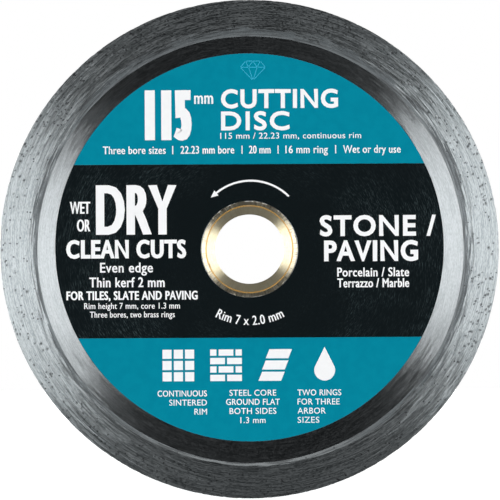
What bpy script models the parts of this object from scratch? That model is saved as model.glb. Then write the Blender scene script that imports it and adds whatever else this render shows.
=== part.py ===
"""A 115 mm continuous-rim diamond blade with two nested bore-reducing rings.

Metres, +Z up. The blade stands upright: its axis is Y, its front face looks towards -Y, and the
origin is the centre of the bore at mid thickness. Every turned piece is spun with the same number
of steps, so that the facets of nested pieces stay in line with each other.
"""

import math

import bmesh
import bpy
from mathutils import Vector

MM = 0.001

# Driving dimensions
BLADE_DIAMETER = 115.0 * MM
BORE_DIAMETER = 22.23 * MM
MIDDLE_BORE_DIAMETER = 20.0 * MM
SMALL_BORE_DIAMETER = 16.0 * MM
PRINT_DIAMETER = 89.6 * MM
CORE_THICKNESS = 1.3 * MM
RIM_THICKNESS = 2.0 * MM
RIM_HEIGHT = 7.1 * MM
RIM_FOOT = 1.2 * MM
RIM_OVERLAP = 2.0 * MM
REDUCER_THICKNESS = 1.2 * MM
INK_THICKNESS = 0.05 * MM
ARROW_INK_THICKNESS = 0.03 * MM

# Clearances: a push fit between the rings, and a hairline between pieces fixed to each other
PUSH_FIT = 0.015 * MM
HAIRLINE = 0.02 * MM
INK_GAP = 0.01 * MM

# Broken edges
BORE_CHAMFER = 0.1 * MM
REDUCER_CHAMFER = 0.12 * MM
RIM_CHAMFER = 0.15 * MM
FOOT_NOSE = 0.05 * MM

# Print layout, as heights above and below the axis
BAND_TOP = 19.6 * MM
BAND_BOTTOM = -20.4 * MM
BAND_GAP = 0.02 * MM
PRINT_HOLE_MARGIN = 0.1 * MM

# Rotation arrow: an arc above the bore that points against the clock, seen from the front
ARROW_CENTRE = Vector((0.3 * MM, 3.3 * MM))
ARROW_RADIUS = 12.5 * MM
ARROW_STROKE = 0.45 * MM
ARROW_TAIL_ANGLE = math.radians(45.0)
ARROW_NECK_ANGLE = math.radians(129.0)
ARROW_HEAD_LENGTH = 1.7 * MM
ARROW_HEAD_WIDTH = 1.5 * MM
ARROW_STEPS = 16

STEPS = 96
SMOOTH_ANGLE = math.radians(30.0)

# Worked out from the driving dimensions
RIM_OUTER_R = BLADE_DIAMETER / 2
RIM_STRAIGHT_R = RIM_OUTER_R - RIM_HEIGHT
RIM_FOOT_R = RIM_STRAIGHT_R - RIM_FOOT
GROOVE_R = RIM_FOOT_R + RIM_OVERLAP
CORE_OUTER_R = GROOVE_R - HAIRLINE
CORE_FACE = CORE_THICKNESS / 2
GROOVE_FACE = CORE_FACE + HAIRLINE
RIM_FACE = RIM_THICKNESS / 2
REDUCER_FACE = REDUCER_THICKNESS / 2
BORE_R = BORE_DIAMETER / 2
MIDDLE_R = MIDDLE_BORE_DIAMETER / 2
SMALL_R = SMALL_BORE_DIAMETER / 2
PRINT_R = PRINT_DIAMETER / 2
PRINT_HOLE_R = BORE_R + PRINT_HOLE_MARGIN
INK_BACK = CORE_FACE + INK_GAP
INK_FACE = INK_BACK + INK_THICKNESS
ARROW_BACK = INK_FACE + INK_GAP

# Which way each face looks along Y
FRONT = -1
BACK = 1

# Colour (linear RGB), metallic and roughness of each finish
FINISHES = {
    "ground_steel": ((0.36, 0.38, 0.40), 1.0, 0.32),
    "sintered_rim": ((0.27, 0.29, 0.31), 1.0, 0.45),
    "brass": ((0.62, 0.50, 0.30), 1.0, 0.28),
    "black_ink": ((0.010, 0.016, 0.018), 0.0, 0.40),
    "teal_ink": ((0.001, 0.230, 0.330), 0.0, 0.45),
    "white_ink": ((0.85, 0.90, 0.93), 0.0, 0.50),
}


def clear_scene():
    for obj in list(bpy.data.objects):
        bpy.data.objects.remove(obj, do_unlink=True)


def make_material(name, colour, metallic, roughness):
    material = bpy.data.materials.new(name)
    material.use_nodes = True
    shader = material.node_tree.nodes["Principled BSDF"]
    shader.inputs["Base Color"].default_value = (*colour, 1.0)
    shader.inputs["Metallic"].default_value = metallic
    shader.inputs["Roughness"].default_value = roughness
    return material


def add_node(name, bm, material, parent):
    """Turn a finished bmesh into a named, smooth-shaded object with outward faces."""
    bmesh.ops.recalc_face_normals(bm, faces=bm.faces)
    mesh = bpy.data.meshes.new(name)
    bm.to_mesh(mesh)
    bm.free()
    mesh.shade_smooth()
    mesh.set_sharp_from_angle(angle=SMOOTH_ANGLE)
    mesh.materials.append(material)
    obj = bpy.data.objects.new(name, mesh)
    bpy.context.scene.collection.objects.link(obj)
    obj.parent = parent
    return obj


def add_axis(name, parent=None):
    """An empty on the blade's axis, which a moving piece hangs from."""
    empty = bpy.data.objects.new(name, None)
    empty.empty_display_size = BORE_R
    bpy.context.scene.collection.objects.link(empty)
    empty.parent = parent
    return empty


def turned(profile):
    """Spin a closed profile of (radius, y) points about the Y axis."""
    bm = bmesh.new()
    verts = [bm.verts.new((radius, y, 0.0)) for radius, y in profile]
    edges = [bm.edges.new((a, b)) for a, b in zip(verts, verts[1:] + verts[:1])]
    bmesh.ops.spin(
        bm,
        geom=verts + edges,
        cent=(0.0, 0.0, 0.0),
        axis=(0.0, 1.0, 0.0),
        angle=math.tau,
        steps=STEPS,
        use_merge=True,
    )
    return bm


def mirrored_profile(half):
    """Complete a profile given for +Y, from the inside outwards, with its mirror image at -Y."""
    return half + [(radius, -y) for radius, y in reversed(half)]


def ring_profile(inner_r, outer_r, face, inner_chamfer, outer_chamfer):
    return mirrored_profile([
        (inner_r, face - inner_chamfer),
        (inner_r + inner_chamfer, face),
        (outer_r - outer_chamfer, face),
        (outer_r, face - outer_chamfer),
    ])


def core_profile():
    """The steel disc: broken edges at the bore, and a plain edge inside the rim's groove."""
    return mirrored_profile([
        (BORE_R, CORE_FACE - BORE_CHAMFER),
        (BORE_R + BORE_CHAMFER, CORE_FACE),
        (CORE_OUTER_R, CORE_FACE),
    ])


def rim_profile():
    """The sintered rim: two sloped feet that clasp the core, with the groove between them."""
    return mirrored_profile([
        (GROOVE_R, GROOVE_FACE),
        (RIM_FOOT_R, GROOVE_FACE),
        (RIM_FOOT_R, GROOVE_FACE + FOOT_NOSE),
        (RIM_STRAIGHT_R, RIM_FACE),
        (RIM_OUTER_R - RIM_CHAMFER, RIM_FACE),
        (RIM_OUTER_R, RIM_FACE - RIM_CHAMFER),
    ])


def cut_off(bm, height, upwards):
    """Remove what lies above (or below) a height, and close the cut."""
    direction = 1.0 if upwards else -1.0
    bmesh.ops.bisect_plane(
        bm,
        geom=bm.verts[:] + bm.edges[:] + bm.faces[:],
        plane_co=(0.0, 0.0, height),
        plane_no=(0.0, 0.0, direction),
        clear_outer=True,
    )
    open_edges = [edge for edge in bm.edges if edge.is_boundary]
    bmesh.ops.holes_fill(bm, edges=open_edges, sides=0)


def ink_area(side, low=None, high=None):
    """A thin coat of ink on one face of the core, between two heights."""
    back = side * INK_BACK
    face = side * INK_FACE
    bm = turned([(PRINT_HOLE_R, back), (PRINT_R, back), (PRINT_R, face), (PRINT_HOLE_R, face)])
    if high is not None:
        cut_off(bm, high, upwards=True)
    if low is not None:
        cut_off(bm, low, upwards=False)
    return bm


def arc_points(radius, start, end):
    return [
        ARROW_CENTRE + radius * Vector((math.cos(angle), math.sin(angle)))
        for angle in (start + (end - start) * i / ARROW_STEPS for i in range(ARROW_STEPS + 1))
    ]


def arrow_outline():
    """The arrow in the XZ plane: outer arc, three corners of the head, and the inner arc back."""
    outward = Vector((math.cos(ARROW_NECK_ANGLE), math.sin(ARROW_NECK_ANGLE)))
    forward = Vector((-outward.y, outward.x))
    neck = ARROW_CENTRE + ARROW_RADIUS * outward
    outer_arc = arc_points(ARROW_RADIUS + ARROW_STROKE / 2, ARROW_TAIL_ANGLE, ARROW_NECK_ANGLE)
    inner_arc = arc_points(ARROW_RADIUS - ARROW_STROKE / 2, ARROW_NECK_ANGLE, ARROW_TAIL_ANGLE)
    head = [
        neck + outward * ARROW_HEAD_WIDTH / 2,
        neck + forward * ARROW_HEAD_LENGTH,
        neck - outward * ARROW_HEAD_WIDTH / 2,
    ]
    return outer_arc + head + inner_arc


def rotation_arrow(side):
    """The white arrow, printed on the black band of one face."""
    bm = bmesh.new()
    verts = [bm.verts.new((p.x, side * ARROW_BACK, p.y)) for p in arrow_outline()]
    base = bm.faces.new(verts)
    grown = bmesh.ops.extrude_face_region(bm, geom=[base])["geom"]
    lifted = [item for item in grown if isinstance(item, bmesh.types.BMVert)]
    bmesh.ops.translate(bm, verts=lifted, vec=(0.0, side * ARROW_INK_THICKNESS, 0.0))
    return bm


def build_disc(materials, blade):
    add_node("steel_core", turned(core_profile()), materials["ground_steel"], blade)
    add_node("diamond_rim", turned(rim_profile()), materials["sintered_rim"], blade)


def build_reducers(materials, blade):
    """Two rings, the smaller one inside the larger, each free to be pushed out along Y."""
    outer_axis = add_axis("outer_reducer_axis", blade)
    inner_axis = add_axis("inner_reducer_axis", outer_axis)
    chamfer = REDUCER_CHAMFER
    outer = ring_profile(MIDDLE_R, BORE_R - PUSH_FIT, REDUCER_FACE, chamfer, chamfer)
    inner = ring_profile(SMALL_R, MIDDLE_R - PUSH_FIT, REDUCER_FACE, chamfer, chamfer)
    add_node("outer_reducer", turned(outer), materials["brass"], outer_axis)
    add_node("inner_reducer", turned(inner), materials["brass"], inner_axis)


def build_print(label, side, materials, blade):
    """One face's coats of ink: the black band, the teal areas above and below it, the arrow."""
    band = ink_area(side, low=BAND_BOTTOM, high=BAND_TOP)
    upper = ink_area(side, low=BAND_TOP + BAND_GAP)
    lower = ink_area(side, high=BAND_BOTTOM - BAND_GAP)
    add_node(f"{label}_black_band", band, materials["black_ink"], blade)
    add_node(f"{label}_teal_upper", upper, materials["teal_ink"], blade)
    add_node(f"{label}_teal_lower", lower, materials["teal_ink"], blade)
    add_node(f"{label}_rotation_arrow", rotation_arrow(side), materials["white_ink"], blade)


def main():
    clear_scene()
    materials = {name: make_material(name, *finish) for name, finish in FINISHES.items()}
    blade = add_axis("blade_axis")
    build_disc(materials, blade)
    build_reducers(materials, blade)
    build_print("front", FRONT, materials, blade)
    build_print("back", BACK, materials, blade)


main()
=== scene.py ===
"""The looks of a 115 mm continuous-rim diamond blade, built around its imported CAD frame.

Metres, +Z up. The blade stands on its edge: its axis is Y and its printed front looks towards -Y.
Radii, faces and print areas come from the frame; what the frame doesn't hold, such as the print's
lines, is laid out here in millimetres from the blade's axis.
"""

import math

import bmesh
import bpy
import numpy as np
from mathutils import Matrix, Vector


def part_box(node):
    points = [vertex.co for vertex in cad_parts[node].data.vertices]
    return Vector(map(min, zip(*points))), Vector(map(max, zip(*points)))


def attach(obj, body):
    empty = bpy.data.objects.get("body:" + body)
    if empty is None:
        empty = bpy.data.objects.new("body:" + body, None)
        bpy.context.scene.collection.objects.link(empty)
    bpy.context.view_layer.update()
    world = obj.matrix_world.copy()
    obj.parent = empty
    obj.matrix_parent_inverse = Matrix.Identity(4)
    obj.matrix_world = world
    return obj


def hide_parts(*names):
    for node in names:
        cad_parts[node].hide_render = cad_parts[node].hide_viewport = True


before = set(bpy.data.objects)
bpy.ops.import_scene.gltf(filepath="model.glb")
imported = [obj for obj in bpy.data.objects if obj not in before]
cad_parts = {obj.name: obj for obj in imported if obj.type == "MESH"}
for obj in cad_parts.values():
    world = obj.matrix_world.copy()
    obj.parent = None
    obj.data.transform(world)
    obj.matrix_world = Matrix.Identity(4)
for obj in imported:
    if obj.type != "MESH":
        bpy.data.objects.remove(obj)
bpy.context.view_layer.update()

MM = 0.001
SEED = 115

FRONT = -1
BACK = 1
BODY = "blade"


# ---------------------------------------------------------------- sizes, read from the frame

# Small gaps and coats, which the frame's boxes don't show
PUSH_FIT = 0.015 * MM
HAIRLINE = 0.02 * MM
INK_THICKNESS = 0.05 * MM
LETTER_THICKNESS = 0.03 * MM
PRINT_HOLE_MARGIN = 0.1 * MM


def reach(node):
    """The highest corner of a node's box: its outer radius in x, its face in y, its top in z."""
    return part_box(node)[1]


RIM_OUTER_R = reach("diamond_rim").x
RIM_FACE = reach("diamond_rim").y
CORE_OUTER_R = reach("steel_core").x
CORE_FACE = reach("steel_core").y
BORE_R = reach("outer_reducer").x + PUSH_FIT
MIDDLE_R = reach("inner_reducer").x + PUSH_FIT
SMALL_R = 8.0 * MM
REDUCER_FACE = reach("inner_reducer").y
PRINT_R = reach("front_black_band").x
BAND_TOP = reach("front_black_band").z
BAND_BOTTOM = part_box("front_black_band")[0].z
INK_FACE = reach("back_black_band").y
LETTER_FACE = reach("back_rotation_arrow").y

PRINT_HOLE_R = BORE_R + PRINT_HOLE_MARGIN

# The print was laid down a little above the blade's centre
PRINT_SHIFT = 0.40 * MM


# ---------------------------------------------------------------- shading helpers

class Shading:
    """One material's node tree. Its calls take plain values or sockets, and give back a socket."""

    def __init__(self, name):
        self.material = bpy.data.materials.new(name)
        self.material.use_nodes = True
        self.tree = self.material.node_tree
        self.shader = self.tree.nodes["Principled BSDF"]
        self.place = self.node("TexCoord").outputs["Object"]

    def feed(self, socket, value):
        if isinstance(value, bpy.types.NodeSocket):
            self.tree.links.new(value, socket)
        else:
            socket.default_value = value

    def node(self, kind, *values, **settings):
        node = self.tree.nodes.new("ShaderNode" + kind)
        for name, value in settings.items():
            setattr(node, name, value)
        for socket, value in zip(node.inputs, values):
            if value is not None:
                self.feed(socket, value)
        return node

    def set(self, name, value):
        self.feed(self.shader.inputs[name], value)

    def math(self, operation, *values):
        return self.node("Math", *values, operation=operation).outputs[0]

    def vector(self, operation, *values):
        node = self.node("VectorMath", *values, operation=operation)
        return node.outputs["Value"] if operation == "LENGTH" else node.outputs["Vector"]

    def plus(self, first, second):
        return self.math("ADD", first, second)

    def minus(self, first, second):
        return self.math("SUBTRACT", first, second)

    def times(self, first, second):
        return self.math("MULTIPLY", first, second)

    def mixed(self, first, share, second):
        """A share of the first value, and what is left of the second."""
        return self.plus(self.times(first, share), self.times(second, 1.0 - share))

    def scaled(self, vector, factor):
        node = self.node("VectorMath", vector, operation="SCALE")
        self.feed(node.inputs["Scale"], factor)
        return node.outputs["Vector"]

    def noise(self, vector, detail=2.0, roughness=0.5):
        node = self.node("TexNoise")
        self.feed(node.inputs["Vector"], vector)
        self.feed(node.inputs["Scale"], 1.0)
        self.feed(node.inputs["Detail"], detail)
        self.feed(node.inputs["Roughness"], roughness)
        return node.outputs[0]

    def ramp(self, value, low, high, to_low=0.0, to_high=1.0):
        """Carry a value smoothly from to_low, at low, to to_high, at high."""
        return self.node("MapRange", value, low, high, to_low, to_high,
                         interpolation_type="SMOOTHSTEP").outputs[0]

    def blend(self, factor, first, second):
        """Mix two linear RGB colours."""
        node = self.node("Mix", data_type="RGBA")
        self.feed(node.inputs[0], factor)
        for socket, colour in ((node.inputs[6], first), (node.inputs[7], second)):
            self.feed(socket, (*colour, 1.0) if isinstance(colour, tuple) else colour)
        return node.outputs[2]

    def attribute(self, name):
        return self.node("Attribute", attribute_name=name).outputs["Fac"]

    def height(self):
        """How high a place is above the axis."""
        return self.node("SeparateXYZ", self.place).outputs["Z"]

    def from_axis(self, centre_x=0.0, centre_z=0.0):
        """The place seen from a point near the axis, flattened into the plane of the disc."""
        moved = self.vector("SUBTRACT", self.place, (centre_x, 0.0, centre_z))
        return self.vector("MULTIPLY", moved, (1.0, 0.0, 1.0))

    def arcs(self, along, across, centre_x=0.0, centre_z=0.0):
        """Coordinates that draw a noise out into arcs.

        It has so many cells per radian along them, and per metre of radius and depth across them.
        """
        flat = self.from_axis(centre_x, centre_z)
        turned = self.scaled(self.vector("NORMALIZE", flat), along)
        radius = self.times(self.vector("LENGTH", flat), across)
        depth = self.times(self.node("SeparateXYZ", self.place).outputs["Y"], across)
        lift = self.node("CombineXYZ", 0.0, self.plus(radius, depth), 0.0).outputs[0]
        return self.vector("ADD", turned, lift)

    def grinding(self, along, across, centre_x, centre_z):
        """Grinding marks: long streaks around a point near the axis."""
        return self.noise(self.arcs(along, across, centre_x, centre_z), detail=1.0, roughness=0.6)

    def dots(self, cells, share, least, most):
        """Ragged dots in a share of the cells.

        The cells are counted per metre, and a dot's radius is between two parts of a cell.
        """
        ragged = self.node("TexNoise")
        self.feed(ragged.inputs["Vector"], self.place)
        self.feed(ragged.inputs["Scale"], cells * 3.0)
        ragged_edge = self.scaled(ragged.outputs["Color"], 0.22)
        bent = self.vector("ADD", self.scaled(self.place, cells), ragged_edge)
        cell = self.node("TexVoronoi")
        self.feed(cell.inputs["Vector"], bent)
        self.feed(cell.inputs["Scale"], 1.0)
        chance = self.node("SeparateColor", cell.outputs["Color"])
        size = self.ramp(chance.outputs["Green"], 0.0, 1.0, least, most)
        from_middle = self.math("DIVIDE", cell.outputs["Distance"], size)
        inside = self.ramp(from_middle, 0.7, 1.0, 1.0, 0.0)
        present = self.math("LESS_THAN", chance.outputs["Red"], share)
        return self.times(inside, present)

    def grooves_around_axis(self, lean=0.0):
        """Stretch the highlight across the grooves, along the radius, and lean it to the side."""
        outwards = self.vector("NORMALIZE", self.from_axis())
        sideways = self.vector("CROSS_PRODUCT", outwards, (0.0, 1.0, 0.0))
        self.set("Tangent", self.vector("ADD", outwards, self.scaled(sideways, lean)))

    def bump(self, height, strength, depth):
        node = self.node("Bump")
        self.feed(node.inputs["Strength"], strength)
        self.feed(node.inputs["Distance"], depth)
        self.feed(node.inputs["Height"], height)
        self.set("Normal", node.outputs["Normal"])


# ---------------------------------------------------------------- materials

# Linear RGB colours
STEEL_DARK = (0.355, 0.383, 0.394)
STEEL_LIGHT = (0.49, 0.520, 0.535)
RIM_DARK = (0.305, 0.338, 0.350)
RIM_LIGHT = (0.500, 0.540, 0.555)
FOOT_DARK = (0.120, 0.136, 0.145)
FOOT_LIGHT = (0.24, 0.268, 0.280)
FOOT_TIP_COLOUR = (0.255, 0.280, 0.292)
# Painted highlight on the foot towards the bottom of the disc
LOWER_FOOT_PAINTED_HIGHLIGHT = (0.42, 0.45, 0.46)
# Dark grit, and painted shade in the pits
GRIT_AND_PIT_SHADE_COLOUR = (0.085, 0.09, 0.095)
BRASS_TARNISH = (0.30, 0.25, 0.17)
BRASS_BURNISH = (1.0, 0.93, 0.78)
BLACK_COAT = (0.0028, 0.0060, 0.0072)
# Painted glint colour of the grain under the black coat
BLACK_GLINT = (0.048, 0.068, 0.073)
TEAL_DARK = (0.0006, 0.222, 0.322)
TEAL_LIGHT = (0.0010, 0.240, 0.342)
TEAL_HAIRLINE = (0.045, 0.040, 0.042)

# Heights between which the rim passes from its calmer bottom to its usual look
CALM_HEIGHT = -50.0 * MM
USUAL_HEIGHT = -25.0 * MM


def ground_steel():
    """Steel ground on a turning table: fine arcs around the axis, some a little off centre."""
    s = Shading("ground_steel")
    fine = s.grinding(11.0, 5400.0, 1.5 * MM, -1.0 * MM)
    grain = s.grinding(70.0, 6600.0, -2.0 * MM, 1.5 * MM)
    broad = s.noise(s.arcs(1.6, 420.0), detail=3.0)
    streaks = s.mixed(fine, 0.5, grain)
    tone = s.mixed(streaks, 0.85, broad)
    s.set("Base Color", s.blend(s.ramp(tone, 0.38, 0.62), STEEL_DARK, STEEL_LIGHT))
    speckle = s.noise(s.scaled(s.place, 3600.0), detail=1.0, roughness=0.6)
    dulled = s.mixed(streaks, 0.55, speckle)
    s.set("Metallic", s.ramp(dulled, 0.42, 0.62, 1.0, 0.955))
    s.set("Roughness", s.ramp(streaks, 0.38, 0.62, 0.39, 0.46))
    s.set("Anisotropic", 1.0)
    marks = s.grinding(9.0, 4700.0, -1.0 * MM, 1.0 * MM)
    s.grooves_around_axis(s.times(s.minus(marks, 0.5), 0.4))
    s.bump(streaks, 0.25, 0.01 * MM)
    return s.material


def rim_foot(s, past):
    """The colour of the bare foot, with a painted highlight low on the disc, and how bare the
    metal is: 1 on the foot and 0 well past it.
    """
    long_waves = s.noise(s.arcs(4.0, 700.0), detail=2.0)
    short_waves = s.noise(s.arcs(11.0, 2600.0, 0.5 * MM, 0.45 * MM))
    wander = s.mixed(long_waves, 0.55, short_waves)
    uneven = s.ramp(s.height(), CALM_HEIGHT, USUAL_HEIGHT, 0.3, 1.0)
    wander = s.times(s.ramp(wander, 0.36, 0.64, -0.8, 0.8), uneven)
    bare = s.ramp(s.plus(past, wander), 0.75, 1.25, 1.0, 0.0)
    specks = s.noise(s.scaled(s.place, 3600.0), detail=2.0)
    smears = s.noise(s.arcs(14.0, 3000.0), detail=2.0)
    tone = s.ramp(s.mixed(specks, 0.5, smears), 0.35, 0.65, 0.3, 1.0)
    tone = s.minus(tone, s.ramp(past, 0.3, 1.0, 0.0, 0.3))
    foot = s.blend(tone, FOOT_DARK, FOOT_LIGHT)
    foot = s.blend(s.ramp(past, 0.0, 0.45), FOOT_TIP_COLOUR, foot)
    # Painted highlight: the foot is lighter towards the bottom of the disc, where light catches
    # its slope
    return s.blend(s.ramp(s.height(), -51.0 * MM, -38.0 * MM), LOWER_FOOT_PAINTED_HIGHLIGHT, foot), bare


def rim_grit_pit_shade_and_arcs(s, past):
    """Where dark grit, painted shade in the pits and dark arcs beside the foot darken the rim."""
    clusters = s.ramp(s.noise(s.scaled(s.place, 240.0), detail=2.0), 0.45, 0.66)
    radius = s.vector("LENGTH", s.from_axis())
    outwards = s.ramp(radius, RIM_OUTER_R - 6.5 * MM, RIM_OUTER_R - 0.5 * MM, 0.08, 0.24)
    share = s.plus(outwards, s.times(clusters, 0.16))
    grit = s.dots(1250.0, share, 0.15, 0.30)
    # The pit mark paints shade into the pits; the grit dots are the rim's own dark grit
    dark = s.math("MAXIMUM", s.times(grit, 0.85), s.attribute("pit_shade"))
    # Dark arcs on the foot and just past it
    near_foot = s.ramp(past, 1.3, 3.0, 1.0, 0.0)
    foot_arcs = s.noise(s.arcs(7.0, 3600.0, 0.5 * MM, 0.45 * MM), detail=2.0)
    foot_arcs = s.times(s.times(s.ramp(foot_arcs, 0.50, 0.58), near_foot), 0.6)
    return s.math("MAXIMUM", dark, foot_arcs)


def sintered_rim():
    """Sintered metal with grit in it: leaning grinding marks and pits, around a bare grey foot."""
    s = Shading("sintered_rim")
    past = s.attribute("past_foot")
    foot, bare = rim_foot(s, past)
    dark = rim_grit_pit_shade_and_arcs(s, past)
    main = s.grinding(7.0, 5200.0, 2.5 * MM, 1.0 * MM)
    grain = s.grinding(64.0, 6400.0, -1.5 * MM, 2.0 * MM)
    streaks = s.mixed(main, 0.5, grain)
    metal = s.blend(s.ramp(streaks, 0.40, 0.60), RIM_DARK, RIM_LIGHT)
    # Dark grit, painted shade in the pits and dark arcs beside the foot darken the colour
    s.set("Base Color", s.blend(dark, s.blend(bare, metal, foot), GRIT_AND_PIT_SHADE_COLOUR))
    clean = s.ramp(s.height(), CALM_HEIGHT, USUAL_HEIGHT, 0.958, 0.985)
    dulled = s.ramp(s.height(), CALM_HEIGHT, USUAL_HEIGHT, 0.892, 0.855)
    s.set("Metallic", s.minus(s.ramp(streaks, 0.40, 0.60, clean, dulled), s.times(bare, 0.46)))
    rough = s.plus(s.ramp(streaks, 0.40, 0.60, 0.47, 0.54), s.times(bare, 0.1))
    s.set("Roughness", s.plus(rough, s.times(dark, 0.15)))
    s.set("Anisotropic", 0.94)
    marks = s.grinding(11.0, 5600.0, 1.5 * MM, -1.0 * MM)
    s.grooves_around_axis(s.times(s.minus(marks, 0.5), 1.1))
    s.bump(s.minus(streaks, s.times(dark, 0.4)), 0.3, 0.02 * MM)
    return s.material


def brass(name, light, dark, metallic, mark_share):
    """Pale turned brass, with worn marks that run outwards across the ring."""
    s = Shading(name)
    turned = s.noise(s.arcs(9.0, 6200.0), detail=2.0)
    worn = s.noise(s.arcs(34.0, 420.0), detail=2.0, roughness=0.6)
    patches = s.times(s.ramp(s.noise(s.scaled(s.place, 130.0)), 0.32, 0.52), mark_share)
    dark_marks = s.times(s.ramp(worn, 0.54, 0.66), patches)
    pale_marks = s.times(s.ramp(worn, 0.46, 0.38), patches)
    body = s.blend(s.ramp(turned, 0.3, 0.7), dark, light)
    body = s.blend(dark_marks, body, BRASS_TARNISH)
    s.set("Base Color", s.blend(pale_marks, body, BRASS_BURNISH))
    s.set("Metallic", s.minus(metallic, s.times(pale_marks, 0.25)))
    s.set("Roughness", s.plus(s.ramp(turned, 0.3, 0.7, 0.41, 0.36), s.times(dark_marks, 0.2)))
    s.set("Anisotropic", 1.0)
    s.grooves_around_axis()
    s.bump(s.plus(turned, s.times(worn, mark_share)), 0.15, 0.01 * MM)
    return s.material


def black_ink():
    """A thin black coat: away from the bore, faint arcs of the ground steel's grain show through
    as painted glints.
    """
    s = Shading("black_ink")
    ground = s.noise(s.arcs(28.0, 6400.0, 4.0 * MM, -2.0 * MM), detail=2.0)
    crossing = s.noise(s.arcs(24.0, 5800.0, -4.0 * MM, -3.0 * MM), detail=2.0)
    patches = s.ramp(s.noise(s.scaled(s.place, 75.0), detail=2.0), 0.38, 0.60, 0.2, 1.0)
    away = s.ramp(s.vector("LENGTH", s.from_axis()), 14.0 * MM, 36.0 * MM, 0.12, 1.0)
    # Painted glints: lighter colour along the grain's arcs, stronger away from the bore
    glints = s.ramp(s.math("MAXIMUM", ground, crossing), 0.54, 0.78)
    glints = s.times(glints, s.times(patches, away))
    s.set("Base Color", s.blend(glints, BLACK_COAT, BLACK_GLINT))
    s.set("Roughness", s.ramp(ground, 0.3, 0.7, 0.50, 0.60))
    s.set("Specular IOR Level", 0.05)
    s.bump(ground, 0.3, 0.006 * MM)
    return s.material


def teal_ink():
    """A flat teal coat, with a dark hairline where it thins out at the edge of the print."""
    s = Shading("teal_ink")
    mottle = s.noise(s.scaled(s.place, 500.0), detail=3.0)
    grain = s.noise(s.arcs(8.0, 3600.0), detail=2.0)
    tint = s.blend(s.ramp(mottle, 0.3, 0.7), TEAL_DARK, TEAL_LIGHT)
    radius = s.vector("LENGTH", s.from_axis(0.0, PRINT_SHIFT))
    edge = s.ramp(radius, PRINT_R - 0.10 * MM, PRINT_R)
    s.set("Base Color", s.blend(edge, tint, TEAL_HAIRLINE))
    s.set("Roughness", s.ramp(grain, 0.3, 0.7, 0.50, 0.60))
    s.set("Specular IOR Level", 0.02)
    s.bump(grain, 0.2, 0.006 * MM)
    return s.material


def pale_ink(name, thin, dense):
    """Pale print, very slightly uneven."""
    s = Shading(name)
    mottle = s.noise(s.scaled(s.place, 900.0), detail=3.0)
    s.set("Base Color", s.blend(s.ramp(mottle, 0.3, 0.7), thin, dense))
    s.set("Roughness", s.ramp(mottle, 0.3, 0.7, 0.60, 0.52))
    s.set("Specular IOR Level", 0.3)
    s.bump(mottle, 0.15, 0.006 * MM)
    return s.material


def build_materials():
    return {
        "ground_steel": ground_steel(),
        "sintered_rim": sintered_rim(),
        "inner_brass": brass("inner_brass", (1.0, 0.92, 0.67), (0.98, 0.85, 0.55), 0.87, 0.12),
        "outer_brass": brass("outer_brass", (1.0, 0.92, 0.74), (0.84, 0.74, 0.52), 0.95, 0.6),
        # The facing bevels are brass, painted a deeper amber for the warm light caught in the
        # groove between the rings
        "bevel_painted_amber": brass("bevel_painted_amber", (0.84, 0.56, 0.20), (0.78, 0.50, 0.16), 0.5, 0.0),
        "black_ink": black_ink(),
        "teal_ink": teal_ink(),
        "white_ink": pale_ink("white_ink", (0.92, 0.93, 0.94), (0.94, 0.95, 0.96)),
        "pale_blue_ink": pale_ink("pale_blue_ink", (0.04, 0.50, 0.74), (0.04, 0.52, 0.76)),
    }


# ---------------------------------------------------------------- mesh helpers

SMOOTH_ANGLE = math.radians(30.0)


def add_piece(mesh, body, slot, *replaced):
    """Put a finished mesh into the scene as a piece that moves with a body."""
    obj = bpy.data.objects.new(mesh.name, mesh)
    bpy.context.scene.collection.objects.link(obj)
    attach(obj, body)
    if replaced:
        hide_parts(*replaced)


def turned_rows(profile, angles):
    """Rows of points around the axis, one row for each (radius, y) of the profile.

    A radius or a y may be a number or an array with a value for each angle.
    """
    rows = np.empty((len(profile), len(angles), 3))
    for row, (radius, y) in zip(rows, profile):
        row[:, 0] = radius * np.cos(angles)
        row[:, 1] = y
        row[:, 2] = radius * np.sin(angles)
    return rows


def ring_mesh(name, rows, materials, row_slots=None):
    """A closed ring: each row joins the next, and the last joins the first."""
    row_count, column_count = rows.shape[:2]
    index = np.arange(row_count * column_count).reshape(row_count, column_count)
    next_row = np.roll(index, -1, axis=0)
    corners = [index, next_row, np.roll(next_row, -1, axis=1), np.roll(index, -1, axis=1)]
    quads = np.stack(corners, axis=-1)
    mesh = bpy.data.meshes.new(name)
    mesh.from_pydata(rows.reshape(-1, 3).tolist(), [], quads.reshape(-1, 4).tolist())
    for material in materials:
        mesh.materials.append(material)
    if row_slots is not None:
        slots = np.repeat(np.array(row_slots, np.int32), column_count)
        mesh.polygons.foreach_set("material_index", slots)
    mesh.shade_smooth()
    mesh.set_sharp_from_angle(angle=SMOOTH_ANGLE)
    return mesh


def even_angles(count):
    return np.linspace(0.0, math.tau, count, endpoint=False)


def wobble(angles, amplitude, rng, waves=range(3, 12)):
    """A smooth closed irregularity around the disc."""
    total = np.zeros_like(angles)
    for wave in waves:
        total += np.sin(wave * angles + rng.uniform(0.0, math.tau)) / math.sqrt(wave)
    return amplitude * total / np.abs(total).max()


def mirrored(half):
    """Complete a profile given for -Y, from the inside outwards, with its mirror image at +Y."""
    return half + [(radius, -y) for radius, y in reversed(half)]


# ---------------------------------------------------------------- the steel core

CORE_COLUMNS = 360
CORE_FACE_ROWS = 24


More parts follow.
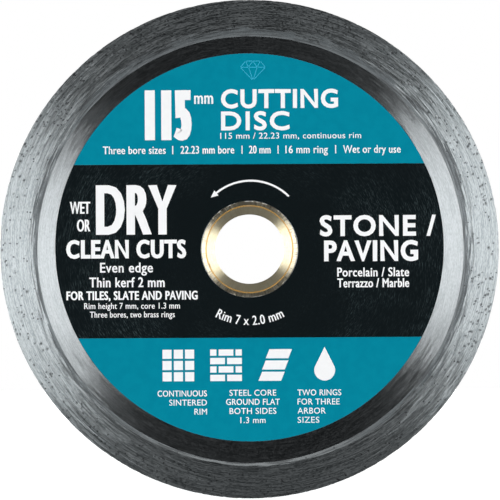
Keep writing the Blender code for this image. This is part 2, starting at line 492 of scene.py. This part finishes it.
def build_core(materials):
    """The ground disc, from the broken edge of its bore to its edge inside the rim's groove."""
    broken = 0.1 * MM
    rounding = 0.03 * MM
    half = [
        (BORE_R, -(CORE_FACE - broken)),
        (BORE_R + rounding, -(CORE_FACE - 2 * rounding)),
        (BORE_R + broken, -CORE_FACE),
    ]
    face_radii = np.linspace(BORE_R + 2 * broken, CORE_OUTER_R, CORE_FACE_ROWS)
    half += [(radius, -CORE_FACE) for radius in face_radii]
    rows = turned_rows(mirrored(half), even_angles(CORE_COLUMNS))
    mesh = ring_mesh("core_steel", rows, [materials["ground_steel"]])
    add_piece(mesh, BODY, "ground_steel", "steel_core")


# ---------------------------------------------------------------- the sintered rim

RIM_COLUMNS = 1320
RIM_FACE_ROWS = 24
FOOT_ROWS = 6
EDGE_ROWS = 4
RIM_GROOVE_FACE = CORE_FACE + HAIRLINE
RIM_GROOVE_R = CORE_OUTER_R + HAIRLINE

# The foot's circle and the ground face's inner circle are a little off centre, and wavy
FOOT_R = 49.2 * MM
FOOT_CENTRE = Vector((0.25 * MM, -0.10 * MM))
FOOT_WAVES = 0.06 * MM
FOOT_TIP = 0.05 * MM
GROUND_INNER_R = 50.4 * MM
GROUND_CENTRE = Vector((0.50 * MM, 0.45 * MM))
GROUND_WAVES = 0.14 * MM

# The rounded corner, and the points on it as shares of its size, in from the edge and the face
CORNER = 0.15 * MM
CORNER_POINTS = ((0.45, 0.2), (0.1, 0.6))

# A stand-in for "well past the foot", in the mark that the rim's material reads
PAST_EVERYTHING = 9.0

PITS_PER_SIDE = 420
PIT_CLUSTERS = 70
PIT_ANGLE_REACH = 0.02
CHIPS_PER_SIDE = 150
CHIP_DEPTH = 0.08 * MM
CHIP_REACH = 0.45 * MM


def off_centre_circle(radius, centre, angles):
    """The radius, seen from the axis, of a circle whose centre is a little off it."""
    return radius + centre.x * np.cos(angles) + centre.y * np.sin(angles)


def rim_side(side, angles, rng):
    """One side of the rim, from its groove to its corner, as (radius, y) rows.

    Beside each row comes how far it has got past the foot: 0 to 1 on the foot, and 1 plus the
    millimetres beyond it on the ground face.
    """
    foot = off_centre_circle(FOOT_R, FOOT_CENTRE, angles)
    foot = foot + wobble(angles, FOOT_WAVES, rng)
    ground = off_centre_circle(GROUND_INNER_R, GROUND_CENTRE, angles)
    ground = ground + wobble(angles, GROUND_WAVES, rng)
    tip = RIM_GROOVE_FACE + FOOT_TIP
    rows = [
        (RIM_GROOVE_R, side * RIM_GROOVE_FACE),
        (foot, side * RIM_GROOVE_FACE),
        (foot, side * tip),
    ]
    for i in range(1, FOOT_ROWS + 1):
        t = i / FOOT_ROWS
        rise = math.sin(t * math.pi / 2)
        rows.append((foot + (ground - foot) * t, side * (tip + (RIM_FACE - tip) * rise)))
    corner_r = RIM_OUTER_R - CORNER
    for i in range(1, RIM_FACE_ROWS + 1):
        rows.append((ground + (corner_r - ground) * i / RIM_FACE_ROWS, side * RIM_FACE))
    for inwards, down in CORNER_POINTS:
        rows.append((RIM_OUTER_R - CORNER * inwards, side * (RIM_FACE - CORNER * down)))
    past = []
    for radius, _ in rows:
        on_foot = np.clip((radius - foot) / (ground - foot), 0.0, 1.0)
        past.append(on_foot + np.clip((radius - ground) / MM, 0.0, None))
    return rows, past


def columns_near(angle, reach_angle, count):
    """A turned piece's columns within an angle of a place on it, and each one's turn from it."""
    step = math.tau / count
    first = math.floor((angle - reach_angle) / step)
    last = math.ceil((angle + reach_angle) / step)
    columns = np.arange(first, last + 1)
    return columns % count, columns * step - angle


def press_pits(rows, pit_shade, side, rng):
    """Sink pits into one side of the rim, closer together towards the edge, and mark the shade
    painted into them.
    """
    radius = np.hypot(rows[..., 0], rows[..., 2])
    on_side = rows[..., 1] * side > RIM_FACE - 0.5 * CORNER
    cluster_angles = rng.uniform(0.0, math.tau, PIT_CLUSTERS)
    for _ in range(PITS_PER_SIDE):
        share = rng.beta(2.0, 1.3)
        pit_r = GROUND_INNER_R + 0.8 * MM + share * (RIM_OUTER_R - GROUND_INNER_R - 0.9 * MM)
        if rng.random() < 0.5:
            pit_angle = rng.choice(cluster_angles) + rng.normal(0.0, 0.03)
        else:
            pit_angle = rng.uniform(0.0, math.tau)
        size = rng.uniform(0.16, 0.30) * MM
        depth = size * rng.uniform(0.15, 0.3)
        columns, sideways = columns_near(pit_angle, PIT_ANGLE_REACH, RIM_COLUMNS)
        sideways = sideways * pit_r / rng.uniform(1.0, 1.6)
        distance = np.hypot(sideways, radius[:, columns] - pit_r) / size
        fall = np.clip(1.0 - distance * distance, 0.0, None) * on_side[:, columns]
        rows[:, columns, 1] -= side * depth * fall
        # How much shade is painted into this pit
        painted_shade = np.minimum(fall * rng.uniform(0.9, 1.6), 1.0)
        pit_shade[:, columns] = np.maximum(pit_shade[:, columns], painted_shade)


def chip_corner(rows, side, outer_r, face, count, deepest, rng):
    """Break small bits out of one outer corner of a turned piece."""
    radius = np.hypot(rows[..., 0], rows[..., 2])
    near = np.clip(1.0 - (outer_r - radius) / CHIP_REACH, 0.0, 1.0)
    near *= np.clip((rows[..., 1] * side / face - 0.3) / 0.5, 0.0, 1.0)
    for _ in range(count):
        width = rng.uniform(0.25, 0.9) * MM / outer_r
        bite = rng.uniform(0.25, 1.0) * deepest
        columns, sideways = columns_near(rng.uniform(0.0, math.tau), width, rows.shape[1])
        fall = np.clip(1.0 - np.abs(sideways) / width, 0.0, None) * near[:, columns]
        shrink = 1.0 - bite * fall / outer_r
        rows[:, columns, 0] *= shrink
        rows[:, columns, 2] *= shrink
        rows[:, columns, 1] -= side * bite * 0.6 * fall


def build_rim(materials):
    """The rim, with its feet, its pitted faces and its worn corners."""
    rng = np.random.default_rng(SEED)
    angles = even_angles(RIM_COLUMNS)
    front, past_front = rim_side(FRONT, angles, rng)
    back, past_back = rim_side(BACK, angles, rng)
    edge_y = np.linspace(-(RIM_FACE - CORNER), RIM_FACE - CORNER, EDGE_ROWS)
    edge = [(RIM_OUTER_R, y) for y in edge_y]
    rows = turned_rows(front + edge + back[::-1], angles)
    pit_shade = np.zeros(rows.shape[:2])
    for side in (FRONT, BACK):
        press_pits(rows, pit_shade, side, rng)
        chip_corner(rows, side, RIM_OUTER_R, RIM_FACE, CHIPS_PER_SIDE, CHIP_DEPTH, rng)
    mesh = ring_mesh("rim_sintered", rows, [materials["sintered_rim"]])
    past_edge = [np.full(RIM_COLUMNS, PAST_EVERYTHING)] * EDGE_ROWS
    past = np.array(past_front + past_edge + past_back[::-1])
    # The pit mark holds the shade painted into the pits
    for mark, values in (("pit_shade", pit_shade), ("past_foot", past)):
        mesh.attributes.new(mark, "FLOAT", "POINT").data.foreach_set("value", values.ravel())
    add_piece(mesh, BODY, "sintered_rim", "diamond_rim")


# ---------------------------------------------------------------- the reducing rings

RING_COLUMNS = 432
NICK_DEPTH = 0.14 * MM


def build_reducer(name, node, body, inner_r, outer_r, materials, golden, nicks):
    """One reducing ring, nicked from being pushed in and out.

    Its materials are the ring's own and that of a golden bevel: brass painted a deeper amber for
    the warm light caught in the groove between the rings. Golden holds 1 or 0 for its inner and
    its outer
    bevel: 1 where that bevel is golden.
    """
    bevel = 0.12 * MM
    inner_bevel = 0.18 * MM
    round_off = 0.03 * MM
    half = [
        (inner_r, -(REDUCER_FACE - inner_bevel)),
        (inner_r + round_off, -(REDUCER_FACE - inner_bevel / 2)),
        (inner_r + inner_bevel, -REDUCER_FACE),
        ((inner_r + outer_r) / 2, -REDUCER_FACE),
        (outer_r - bevel, -REDUCER_FACE),
        (outer_r - round_off, -(REDUCER_FACE - 2 * round_off)),
        (outer_r, -(REDUCER_FACE - bevel)),
    ]
    rows = turned_rows(mirrored(half), even_angles(RING_COLUMNS))
    rng = np.random.default_rng(SEED + nicks)
    for side in (FRONT, BACK):
        chip_corner(rows, side, outer_r, REDUCER_FACE, nicks, NICK_DEPTH, rng)
    inner, outer = golden
    slots = [inner, inner, 0, 0, outer, outer, 0, outer, outer, 0, 0, inner, inner, 0]
    mesh = ring_mesh(name, rows, materials, slots)
    add_piece(mesh, body, "brass", node)


def build_reducers(materials):
    build_reducer(
        "ring_20_to_16", "inner_reducer", "inner_ring", SMALL_R, MIDDLE_R - PUSH_FIT,
        [materials["inner_brass"], materials["bevel_painted_amber"]], golden=(0, 1), nicks=5,
    )
    build_reducer(
        "ring_22_to_20", "outer_reducer", "outer_ring", MIDDLE_R, BORE_R - PUSH_FIT,
        [materials["outer_brass"], materials["bevel_painted_amber"]], golden=(1, 0), nicks=34,
    )


# ---------------------------------------------------------------- the coats of ink

PRINT_POINTS = 720
PRINT_HOLE_POINTS = 180
PRINT_RAGGEDNESS = 0.03 * MM
BAND_GAP = 0.02 * MM
FAR_OUTSIDE = 1.0


def coat(name, loops, side):
    """A thin flat coat from closed loops of (x, z) points; those after the first are holes."""
    bm = bmesh.new()
    edges = []
    for loop in loops:
        verts = [bm.verts.new((x, side * (INK_FACE - INK_THICKNESS), z)) for x, z in loop]
        edges += [bm.edges.new(pair) for pair in zip(verts, verts[1:] + verts[:1])]
    bmesh.ops.triangle_fill(bm, edges=edges, use_beauty=True)
    return thicken(name, bm, side, INK_THICKNESS)


def thicken(name, bm, side, thickness):
    """Give a flat sheet of faces its thickness, away from the disc."""
    grown = bmesh.ops.extrude_face_region(bm, geom=bm.faces[:], use_keep_orig=True)["geom"]
    lifted = [item for item in grown if isinstance(item, bmesh.types.BMVert)]
    bmesh.ops.translate(bm, verts=lifted, vec=(0.0, side * thickness, 0.0))
    bmesh.ops.recalc_face_normals(bm, faces=bm.faces[:])
    mesh = bpy.data.meshes.new(name)
    bm.to_mesh(mesh)
    bm.free()
    return mesh


def print_edge(rng):
    """The outline of the whole print: a circle, a little above the axis, with a ragged edge."""
    angles = even_angles(PRINT_POINTS)
    radius = PRINT_R + wobble(angles, PRINT_RAGGEDNESS, rng, range(9, 60))
    return np.stack([radius * np.cos(angles), radius * np.sin(angles) + PRINT_SHIFT], axis=1)


def between(outline, low, high):
    """The part of a round outline that lies between two heights, closed by straight cuts."""
    points = []
    for (x0, z0), (x1, z1) in zip(outline, np.roll(outline, -1, axis=0)):
        if low <= z0 <= high:
            points.append((x0, z0))
        for cut in sorted((low, high), reverse=bool(z1 < z0)):
            if (z0 - cut) * (z1 - cut) < 0:
                points.append((x0 + (x1 - x0) * (cut - z0) / (z1 - z0), cut))
    return points


def circle(radius, count):
    return [(radius * math.cos(angle), radius * math.sin(angle)) for angle in even_angles(count)]


def build_coats(label, side, materials, rng):
    """One face's coats: the black band around the bore, and the teal above and below it."""
    outline = print_edge(rng)
    hole = circle(PRINT_HOLE_R, PRINT_HOLE_POINTS)
    areas = {
        "black_band": ("black_ink", [between(outline, BAND_BOTTOM, BAND_TOP), hole]),
        "teal_upper": ("teal_ink", [between(outline, BAND_TOP + BAND_GAP, FAR_OUTSIDE)]),
        "teal_lower": ("teal_ink", [between(outline, -FAR_OUTSIDE, BAND_BOTTOM - BAND_GAP)]),
    }
    for area, (ink, loops) in areas.items():
        mesh = coat(f"{label}_{area}_coat", loops, side)
        mesh.materials.append(materials[ink])
        add_piece(mesh, BODY, ink, f"{label}_{area}")


# ---------------------------------------------------------------- lettering

# Each weight: the stroke as a share of a capital's height, and the spacing of the letters
REGULAR = (0.15, 1.06)
SEMIBOLD = (0.17, 1.08)
BOLD = (0.20, 1.10)
HEAVY = (0.225, 1.12)
NUMERAL = (0.215, 1.22)

# The built-in typeface: its own stroke in the same measure, a capital's share of the type size,
# and the straight pieces in each curve
PLAIN_STROKE = 0.13
CAPITAL_SHARE = 0.682
CURVE_STEPS = 4

# Keeps a sharp corner from being pushed out too far when letters are made bolder: the smaller
# this is, the further it may go
SHARPEST_CORNER = 0.9

# Each line of print, in millimetres: text, left, right, baseline, height of a capital, weight
HEADINGS = [
    ("115", -24.0, -13.2, 25.7, 10.6, NUMERAL),
    ("mm", -12.6, -8.2, 33.6, 2.8, REGULAR),
    ("CUTTING", -6.4, 20.6, 32.7, 4.0, HEAVY),
    ("DISC", -6.4, 9.4, 27.6, 4.0, HEAVY),
    ("115 mm / 22.23 mm, continuous rim", -6.6, 25.9, 25.5, 1.35, REGULAR),
    ("Three bore sizes", -33.7, -19.2, 22.1, 1.75, REGULAR),
    ("22.23 mm bore", -15.8, -3.4, 22.1, 1.75, REGULAR),
    ("20 mm", 0.0, 5.0, 22.1, 1.75, REGULAR),
    ("16 mm ring", 8.4, 18.2, 22.1, 1.75, REGULAR),
    ("Wet or dry use", 21.7, 35.0, 22.1, 1.75, REGULAR),
]
SEPARATORS = (-17.6, -1.6, 6.7, 20.0)
SEPARATOR_LOW = 22.0
SEPARATOR_HIGH = 23.9
SEPARATOR_WIDTH = 0.24
LEFT_LINES = [
    ("WET", -41.4, -36.7, 8.4, 2.7, REGULAR),
    ("OR", -39.8, -36.7, 4.3, 2.7, REGULAR),
    ("DRY", -35.4, -16.8, 3.7, 11.0, SEMIBOLD),
    ("CLEAN CUTS", -42.3, -14.6, -1.8, 3.9, HEAVY),
    ("Even edge", -34.5, -22.3, -5.2, 2.2, SEMIBOLD),
    ("Thin kerf 2 mm", -37.0, -19.6, -8.6, 2.2, SEMIBOLD),
    ("FOR TILES, SLATE AND PAVING", -42.3, -12.0, -11.5, 1.9, BOLD),
    ("Rim height 7 mm, core 1.3 mm", -38.2, -16.1, -13.6, 1.35, REGULAR),
    ("Three bores, two brass rings", -36.9, -17.3, -15.6, 1.35, REGULAR),
]
RIGHT_LINES = [
    ("STONE /", 16.2, 43.0, 3.1, 4.4, HEAVY),
    ("PAVING", 17.2, 38.9, -2.7, 4.4, HEAVY),
    ("Porcelain / Slate", 20.2, 36.8, -6.4, 2.0, SEMIBOLD),
    ("Terrazzo / Marble", 20.2, 36.8, -8.9, 2.0, SEMIBOLD),
]
LOWER_LINES = [
    ("CONTINUOUS", -21.4, -10.0, -33.9, 1.35, REGULAR),
    ("SINTERED", -18.7, -10.0, -36.0, 1.35, REGULAR),
    ("RIM", -12.9, -10.0, -38.1, 1.35, REGULAR),
    ("STEEL CORE", -4.8, 6.0, -33.8, 1.35, REGULAR),
    ("GROUND FLAT", -5.6, 6.8, -35.9, 1.35, REGULAR),
    ("BOTH SIDES", -4.8, 6.0, -38.0, 1.35, REGULAR),
    ("1.3 mm", -2.3, 3.5, -40.1, 1.35, REGULAR),
    ("TWO RINGS", 10.9, 21.0, -33.8, 1.35, REGULAR),
    ("FOR THREE", 10.9, 20.6, -35.9, 1.35, REGULAR),
    ("ARBOR", 10.9, 17.4, -38.0, 1.35, REGULAR),
    ("SIZES", 10.9, 15.9, -40.1, 1.35, REGULAR),
]
BACK_LINES = [
    ("115 mm", -13.0, 13.0, 28.4, 6.4, BOLD),
    ("CUTTING DISC", -18.0, 18.0, 22.6, 3.2, HEAVY),
    ("BORE", -34.0, -25.0, 10.4, 2.6, SEMIBOLD),
    ("22.23 mm", -38.5, -20.5, 4.6, 3.4, BOLD),
    ("20 mm", -35.2, -23.8, -0.8, 3.4, BOLD),
    ("16 mm", -35.2, -23.8, -6.2, 3.4, BOLD),
    ("WET", 22.5, 36.5, 3.2, 4.4, HEAVY),
    ("DRY", 22.5, 36.5, -4.2, 4.4, HEAVY),
    ("Core 1.3 mm", -8.0, 8.0, -35.6, 1.9, REGULAR),
]

# The line on a curve: text, radius of its baseline, width, height of a capital, weight
CURVED_LINE = ("Rim 7 x 2.0 mm", 17.5, 16.6, 2.1, REGULAR)

# Signs, in millimetres: their left sides or middles, and for each face the gem's middle and foot
SIGN_LOW = -30.4
SIGN_SIZE = 7.8
SIGN_GAP = 0.5
TILES_LEFT = -20.2
BRICKS_LEFT = -9.2
SLABS_LEFT = 1.9
DROP_MIDDLE = 17.2
GEM_WIDTH = 5.8
GEM_HEIGHT = 4.5
GEM_PEN = 0.13
FRONT_GEM = (1.0, 38.9)
BACK_GEM = (0.0, 37.4)


def letter_shapes(text, spacing):
    """The flat faces of a line of letters: points with a capital's height of 1, and polygons."""
    curve = bpy.data.curves.new("letters", "FONT")
    curve.body = text
    curve.space_character = spacing
    curve.resolution_u = CURVE_STEPS
    curve.size = 1.0 / CAPITAL_SHARE
    obj = bpy.data.objects.new("letters", curve)
    bpy.context.scene.collection.objects.link(obj)
    bpy.context.view_layer.update()
    shown = obj.evaluated_get(bpy.context.evaluated_depsgraph_get())
    mesh = shown.to_mesh()
    points = np.array([v.co.xy for v in mesh.vertices])
    polygons = [list(p.vertices) for p in mesh.polygons]
    shown.to_mesh_clear()
    bpy.data.objects.remove(obj, do_unlink=True)
    bpy.data.curves.remove(curve)
    points[:, 0] -= points[:, 0].min()
    return points, polygons


def embolden(points, polygons, grow_x, grow_z):
    """Push the outline of flat faces outwards, by its own amount in each direction."""
    sides = {}
    for polygon in polygons:
        for start, end in zip(polygon, polygon[1:] + polygon[:1]):
            sides[start, end] = True
    outward = [[] for _ in points]
    for start, end in sides:
        if (end, start) in sides:
            continue
        step = points[end] - points[start]
        length = math.hypot(*step)
        if length > 0.0:
            normal = np.array([step[1], -step[0]]) / length
            outward[start].append(normal)
            outward[end].append(normal)
    grown = points.copy()
    for i, normals in enumerate(outward):
        if normals:
            total = np.sum(normals, axis=0)
            sharpness = max(total @ total / len(normals), SHARPEST_CORNER)
            grown[i] += total / sharpness * np.array([grow_x, grow_z])
    return grown


def letters(text, width, capital, weight):
    """A line of letters in millimetres, squeezed to a width, from x = 0 on a baseline at z = 0."""
    stroke, spacing = weight
    points, polygons = letter_shapes(text, spacing)
    squeeze = (width - stroke * capital) / ((np.ptp(points[:, 0]) - PLAIN_STROKE) * capital)
    grow_x = (stroke - PLAIN_STROKE * squeeze) * capital / 2
    grow_z = (stroke - PLAIN_STROKE) * capital / 2
    points = embolden(points * (squeeze, 1.0) * capital, polygons, grow_x, grow_z)
    return points - (points[:, 0].min(), 0.0), polygons


class Lettering:
    """Letters and signs of one piece of white print, gathered on one face of the blade."""

    def __init__(self, name, side):
        self.name = name
        self.side = side
        self.bm = bmesh.new()

    def place(self, x, z):
        """A point of the print, which reads the right way round from its own side of the blade."""
        return (-self.side * x, self.side * (LETTER_FACE - LETTER_THICKNESS), z)

    def add(self, points, polygons):
        """Flat faces from points in metres."""
        verts = [self.bm.verts.new(self.place(x, z)) for x, z in points]
        for polygon in polygons:
            self.bm.faces.new([verts[i] for i in polygon])

    def line(self, text, left, right, base, capital, weight):
        """A straight line of letters, between two sides and on a baseline."""
        points, polygons = letters(text, right - left, capital, weight)
        self.add((points + (left, base)) * MM, polygons)

    def curved_line(self, text, radius, width, capital, weight):
        """A line that hangs under the bore, its letters standing up towards the axis."""
        points, polygons = letters(text, width, capital, weight)
        angle = math.radians(-90.0) + (points[:, 0] - width / 2) / radius
        reach_in = (radius - points[:, 1]) * MM
        self.add(np.stack([reach_in * np.cos(angle), reach_in * np.sin(angle)], axis=1), polygons)

    def outline(self, points):
        """A filled shape from its corners, in millimetres like all that follow."""
        points = [(x * MM, z * MM) for x, z in points]
        self.add(points, [list(range(len(points)))])

    def bar(self, left, low, right, high):
        self.outline([(left, low), (right, low), (right, high), (left, high)])

    def stroke(self, start, end, width):
        """A straight stroke between two points."""
        start, end = Vector(start), Vector(end)
        along = (end - start).normalized()
        aside = Vector((-along.y, along.x)) * width / 2
        self.outline([start - aside, end - aside, end + aside, start + aside])

    def finish(self, material):
        mesh = thicken(self.name, self.bm, self.side, LETTER_THICKNESS)
        mesh.materials.append(material)
        add_piece(mesh, BODY, "white_ink")


def gem_sign(strokes, centre_x, low):
    """A plain sign for a cut stone, drawn with fine strokes of one width.

    The strokes stop just short of each corner, and further short of the foot, where four of them
    meet, so that no two of them overlap.
    """
    girdle = low + GEM_HEIGHT * 0.68
    top = low + GEM_HEIGHT
    half = GEM_WIDTH / 2
    inner = half * 0.34
    upper = half * 0.58
    short = GEM_PEN * 1.1
    short_of_foot = GEM_PEN * 2.4
    corners = {
        "left": (centre_x - half, girdle),
        "inner_left": (centre_x - inner, girdle),
        "inner_right": (centre_x + inner, girdle),
        "right": (centre_x + half, girdle),
        "top_left": (centre_x - upper, top),
        "top_middle": (centre_x, top),
        "top_right": (centre_x + upper, top),
        "foot": (centre_x, low),
    }
    for start, end in (
        ("left", "top_left"), ("top_left", "top_middle"), ("top_middle", "top_right"),
        ("top_right", "right"), ("left", "inner_left"), ("inner_left", "inner_right"),
        ("inner_right", "right"), ("top_middle", "inner_left"), ("top_middle", "inner_right"),
        ("top_left", "inner_left"), ("top_right", "inner_right"),
        ("left", "foot"), ("inner_left", "foot"), ("inner_right", "foot"), ("right", "foot"),
    ):
        short_of_end = short_of_foot if end == "foot" else short
        first, last = Vector(corners[start]), Vector(corners[end])
        along = (last - first).normalized()
        strokes.stroke(first + along * short, last - along * short_of_end, GEM_PEN)


def tile_sign(lettering, left):
    """Nine square tiles."""
    step = SIGN_SIZE / 3
    for i in range(3):
        for j in range(3):
            lettering.bar(left + i * step, SIGN_LOW + j * step,
                          left + (i + 1) * step - SIGN_GAP,
                          SIGN_LOW + (j + 1) * step - SIGN_GAP)


def brick_sign(lettering, left):
    """Four courses of bricks, each second course moved by half a brick."""
    course = SIGN_SIZE / 4
    for row in range(4):
        cuts = [0.0, 0.5, 1.0] if row % 2 == 0 else [0.0, 0.25, 0.75, 1.0]
        for start, end in zip(cuts, cuts[1:]):
            lettering.bar(left + start * SIGN_SIZE, SIGN_LOW + row * course,
                          left + end * SIGN_SIZE - SIGN_GAP,
                          SIGN_LOW + (row + 1) * course - SIGN_GAP)


def slab_sign(lettering, left):
    """Three slanted stone slabs, one above the other."""
    cut = SIGN_SIZE * 0.22
    layer = SIGN_SIZE / 3
    for i in range(3):
        base = SIGN_LOW + i * layer
        top = base + layer - SIGN_GAP
        lean = cut * (i - 1) / 2
        lettering.outline([
            (left + cut / 2 + lean, base),
            (left + SIGN_SIZE - cut + lean, base),
            (left + SIGN_SIZE - cut / 2 + lean, top),
            (left + cut + lean, top),
        ])


def drop_sign(lettering, centre_x):
    """A drop of water: a round foot that rises to a point."""
    radius = SIGN_SIZE * 0.31
    steps = 28
    spread = math.radians(215.0)
    start = math.radians(-90.0) - spread / 2
    points = []
    for i in range(steps + 1):
        angle = start + spread * i / steps
        z = SIGN_LOW + radius + radius * math.sin(angle)
        points.append((centre_x + radius * math.cos(angle), z))
    lettering.outline(points + [(centre_x, SIGN_LOW + SIGN_SIZE)])


def build_signs(label, side, gem_place, materials):
    """Four plain signs for what the disc cuts and that water may cool it, and the stone sign."""
    signs = Lettering(f"{label}_signs", side)
    gem_strokes = Lettering(f"{label}_gem_strokes", side)
    gem_sign(gem_strokes, *gem_place)
    tile_sign(signs, TILES_LEFT)
    brick_sign(signs, BRICKS_LEFT)
    slab_sign(signs, SLABS_LEFT)
    drop_sign(signs, DROP_MIDDLE)
    signs.finish(materials["white_ink"])
    gem_strokes.finish(materials["pale_blue_ink"])


def build_front_lettering(materials):
    for name, lines, separators in (
        ("front_headings", HEADINGS, SEPARATORS),
        ("front_left_lines", LEFT_LINES, ()),
        ("front_right_lines", RIGHT_LINES, ()),
        ("front_lower_lines", LOWER_LINES, ()),
    ):
        lettering = Lettering(name, FRONT)
        for line in lines:
            lettering.line(*line)
        for x in separators:
            lettering.bar(x - SEPARATOR_WIDTH / 2, SEPARATOR_LOW,
                          x + SEPARATOR_WIDTH / 2, SEPARATOR_HIGH)
        lettering.finish(materials["white_ink"])
    ring_line = Lettering("front_curved_line", FRONT)
    ring_line.curved_line(*CURVED_LINE)
    ring_line.finish(materials["white_ink"])
    build_signs("front", FRONT, FRONT_GEM, materials)


def build_back_lettering(materials):
    lettering = Lettering("back_lines", BACK)
    for line in BACK_LINES:
        lettering.line(*line)
    lettering.finish(materials["white_ink"])
    build_signs("back", BACK, BACK_GEM, materials)


# ---------------------------------------------------------------- the studio

CAMERA_LENS = 200.0
CAMERA_SENSOR = 36.0
CAMERA_ASIDE = 0.115 * MM
CAMERA_LIFT = -0.196 * MM
CAMERA_ROLL = math.radians(0.3)
VIEW_WIDTH = 1.0028079 * 2 * RIM_OUTER_R

# Softboxes, in front of the blade and behind it: two to its sides and one above, on each side
LIGHT_DISTANCE = 0.60
LIGHT_TILT = math.radians(4.3)
SIDE_LIGHT_WIDTH = 0.35
SIDE_LIGHT_HEIGHT = 0.60
SIDE_LIGHT_RADIANCE = 5.55
TOP_LIGHT_WIDTH = 0.40
TOP_LIGHT_HEIGHT = 0.25
TOP_LIGHT_RADIANCE = 0.07
TOP_LIGHT_ASIDE = 0.25
TOP_LIGHT_LIFT = 0.8
ROOM_COLOUR = (0.010, 0.011, 0.012, 1.0)

# The table top glows a little more with the distance from its middle, to fade into the white
FLOOR_RADIUS = 0.5
GLOW_FROM = (0.10, 0.84)
GLOW_TO = (0.45, 1.0)
WHITE = (1.0, 1.0, 1.0, 1.0)


def build_camera():
    """Face on, from far enough for a long lens, with the blade filling the picture."""
    data = bpy.data.cameras.new("camera")
    data.lens = CAMERA_LENS
    data.sensor_width = CAMERA_SENSOR
    distance = VIEW_WIDTH * CAMERA_LENS / CAMERA_SENSOR
    camera = bpy.data.objects.new("camera", data)
    camera.location = (CAMERA_ASIDE, -(distance + RIM_FACE - CORNER), CAMERA_LIFT)
    camera.rotation_euler = (math.radians(90.0), CAMERA_ROLL, 0.0)
    bpy.context.scene.collection.objects.link(camera)
    bpy.context.scene.camera = camera


def add_softbox(name, direction, width, height, radiance):
    """An oval softbox turned towards the blade, and tilted with the others about its axis."""
    data = bpy.data.lights.new(name, "AREA")
    data.shape = "ELLIPSE"
    data.size = width
    data.size_y = height
    data.energy = radiance * math.pi / 4 * width * height * math.pi
    position = Vector(direction).normalized() * LIGHT_DISTANCE
    aim = position.to_track_quat("Z", "Y").to_matrix().to_4x4()
    tilt = Matrix.Rotation(-LIGHT_TILT, 4, "Y")
    light = bpy.data.objects.new(name, data)
    light.matrix_world = tilt @ Matrix.Translation(position) @ aim
    light.visible_camera = False
    bpy.context.scene.collection.objects.link(light)


def build_world():
    """White behind the blade, and a dim even room around it."""
    world = bpy.data.worlds.new("studio")
    world.use_nodes = True
    nodes, links = world.node_tree.nodes, world.node_tree.links
    background = nodes["Background"]
    rays = nodes.new("ShaderNodeLightPath")
    shade = nodes.new("ShaderNodeMix")
    shade.data_type = "RGBA"
    shade.inputs[6].default_value = ROOM_COLOUR
    shade.inputs[7].default_value = WHITE
    links.new(rays.outputs["Is Camera Ray"], shade.inputs[0])
    links.new(shade.outputs[2], background.inputs["Color"])
    bpy.context.scene.world = world


def floor_material():
    material = bpy.data.materials.new("table_top")
    material.use_nodes = True
    nodes, links = material.node_tree.nodes, material.node_tree.links
    shader = nodes["Principled BSDF"]
    shader.inputs["Base Color"].default_value = (0.9, 0.9, 0.9, 1.0)
    shader.inputs["Roughness"].default_value = 0.9
    shader.inputs["Specular IOR Level"].default_value = 0.0
    shader.inputs["Emission Color"].default_value = WHITE
    place = nodes.new("ShaderNodeTexCoord").outputs["Object"]
    away = nodes.new("ShaderNodeVectorMath")
    away.operation = "LENGTH"
    links.new(place, away.inputs[0])
    glow = nodes.new("ShaderNodeMapRange")
    near, near_glow = GLOW_FROM
    far, far_glow = GLOW_TO
    for socket, value in zip(glow.inputs[1:5], (near, far, near_glow, far_glow)):
        socket.default_value = value
    links.new(away.outputs["Value"], glow.inputs[0])
    links.new(glow.outputs[0], shader.inputs["Emission Strength"])
    return material


def build_floor():
    """A plain white table top, which the blade stands on."""
    bm = bmesh.new()
    bmesh.ops.create_circle(bm, cap_ends=True, segments=96, radius=FLOOR_RADIUS)
    mesh = bpy.data.meshes.new("table_top")
    bm.to_mesh(mesh)
    bm.free()
    mesh.materials.append(floor_material())
    floor = bpy.data.objects.new("table_top", mesh)
    floor.location.z = -RIM_OUTER_R
    floor.visible_glossy = False
    floor.visible_diffuse = False
    floor.visible_shadow = False
    bpy.context.scene.collection.objects.link(floor)


def build_studio():
    build_camera()
    for place, depth in (("front", FRONT), ("rear", BACK)):
        for hand, across in (("left", -1), ("right", 1)):
            add_softbox(f"{place}_{hand}_light", (across, depth, 0),
                        SIDE_LIGHT_WIDTH, SIDE_LIGHT_HEIGHT, SIDE_LIGHT_RADIANCE)
        add_softbox(f"{place}_top_light", (TOP_LIGHT_ASIDE, depth, TOP_LIGHT_LIFT),
                    TOP_LIGHT_WIDTH, TOP_LIGHT_HEIGHT, TOP_LIGHT_RADIANCE)
    build_world()
    build_floor()
    bpy.context.scene.view_settings.view_transform = "Standard"


# ---------------------------------------------------------------- the blade

def main():
    materials = build_materials()
    build_core(materials)
    build_rim(materials)
    build_reducers(materials)
    rng = np.random.default_rng(SEED + 1)
    build_coats("front", FRONT, materials, rng)
    build_coats("back", BACK, materials, rng)
    for arrow in ("front_rotation_arrow", "back_rotation_arrow"):
        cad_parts[arrow].data.materials.clear()
        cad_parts[arrow].data.materials.append(materials["white_ink"])
    build_front_lettering(materials)
    build_back_lettering(materials)
    build_studio()


main()
